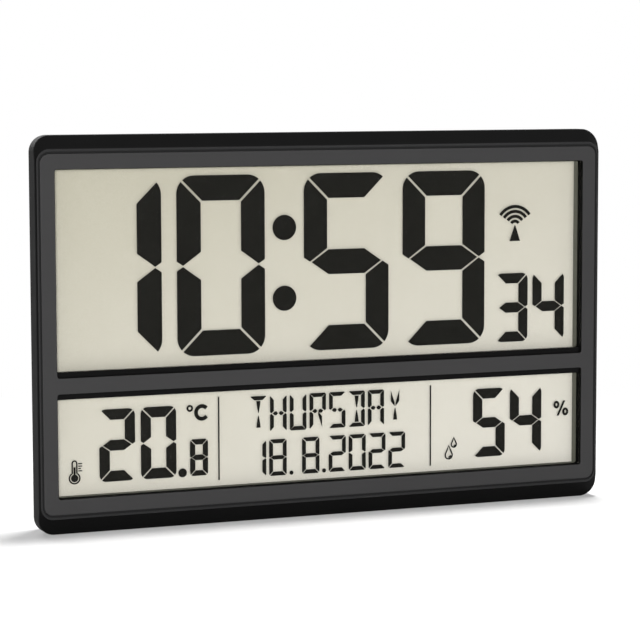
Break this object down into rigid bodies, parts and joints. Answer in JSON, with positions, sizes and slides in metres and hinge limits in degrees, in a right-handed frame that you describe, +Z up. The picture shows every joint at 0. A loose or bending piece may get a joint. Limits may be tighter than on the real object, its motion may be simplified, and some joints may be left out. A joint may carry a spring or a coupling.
{
  "type": "digital wall clock",
  "caption": "Flat rectangular digital wall clock with a satin frame, a large time display above a climate and date display, rear keyholes, setting buttons and fold-out stand legs.",
  "frame": {"origin": "midway between the centres of the two keyhole entries, on the flat back that lies on the wall", "axes": "+Y points from the clock into the wall, +X to the right as one reads the face, +Z up"},
  "size_m": [0.367, 0.028, 0.234],
  "materials": {
    "satin_grey": "satin, fine grain",
    "gloss_black": "high gloss",
    "black_foam": "matt foam",
    "display_glass": "clear, anti-glare",
    "seal_olive": "matt",
    "segment_ink": "matt",
    "reflector_film": "satin reflector",
    "carrier_white": "moulded",
    "screw_steel": "zinc plated",
    "connector_rubber": "striped elastomer",
    "board_green": "solder mask",
    "chip_black": "epoxy",
    "capacitor_sleeve": "shrink sleeve",
    "ferrite": "sintered",
    "copper_wire": "enamelled wire",
    "back_black": "fine spark-eroded grain",
    "cell_sleeve": "printed sleeve",
    "contact_nickel": "nickel plated",
    "button_grey": "matt"
  },
  "bodies": {
    "case": {"front_frame": "satin_grey", "front_housing": "gloss_black", "time_gasket": "black_foam", "climate_gasket": "black_foam", "time_front_glass": "display_glass", "time_seal": "seal_olive", "time_segments": "segment_ink", "time_rear_glass": "display_glass", "time_reflector": "reflector_film", "climate_front_glass": "display_glass", "climate_seal": "seal_olive", "climate_segments": "segment_ink", "climate_rear_glass": "display_glass", "climate_reflector": "reflector_film", "lcd_carrier": "carrier_white", "carrier_screws": "screw_steel", "time_connector": "connector_rubber", "climate_connector": "connector_rubber", "main_board": "board_green", "clock_chip": "chip_black", "quartz_crystal": "screw_steel", "capacitors": "capacitor_sleeve", "button_switches": "chip_black", "board_screws": "screw_steel", "antenna_rod": "ferrite", "antenna_coil": "copper_wire", "receiver_board": "board_green", "sensor_board": "board_green", "sensor_chip": "carrier_white", "rear_cover": "back_black", "case_screws": "screw_steel", "cell_a": "cell_sleeve", "cell_b": "cell_sleeve", "cell_springs": "contact_nickel", "contact_plates": "contact_nickel", "left_leg_pin": "screw_steel", "right_leg_pin": "screw_steel"},
    "door": {"battery_door": "back_black"},
    "leg_l": {"left_leg": "back_black"},
    "leg_r": {"right_leg": "back_black"},
    "key_set": {"set_button": "button_grey"},
    "key_plus": {"plus_button": "button_grey"},
    "key_minus": {"minus_button": "button_grey"},
    "key_unit": {"unit_button": "button_grey"},
    "key_wave": {"wave_button": "button_grey"}
  },
  "joints": [
    {"name": "door_slide", "type": "slide", "parent": "case", "child": "door", "axis": [0, 0, -1], "range_m": [0, 0.046]},
    {"name": "left_leg_fold", "type": "hinge", "parent": "case", "child": "leg_l", "pos_m": [-0.12, -0.0024, -0.171], "axis": [-1, 0, 0], "range_deg": [0, 95]},
    {"name": "right_leg_fold", "type": "hinge", "parent": "case", "child": "leg_r", "pos_m": [0.12, -0.0024, -0.171], "axis": [-1, 0, 0], "range_deg": [0, 95]},
    {"name": "set_press", "type": "slide", "parent": "case", "child": "key_set", "axis": [0, -1, 0], "range_m": [0, 0.001], "stiffness_N_per_m": 400},
    {"name": "plus_press", "type": "slide", "parent": "case", "child": "key_plus", "axis": [0, -1, 0], "range_m": [0, 0.001], "stiffness_N_per_m": 400},
    {"name": "minus_press", "type": "slide", "parent": "case", "child": "key_minus", "axis": [0, -1, 0], "range_m": [0, 0.001], "stiffness_N_per_m": 400},
    {"name": "unit_press", "type": "slide", "parent": "case", "child": "key_unit", "axis": [0, -1, 0], "range_m": [0, 0.001], "stiffness_N_per_m": 400},
    {"name": "wave_press", "type": "slide", "parent": "case", "child": "key_wave", "axis": [0, -1, 0], "range_m": [0, 0.001], "stiffness_N_per_m": 400}
  ]
}
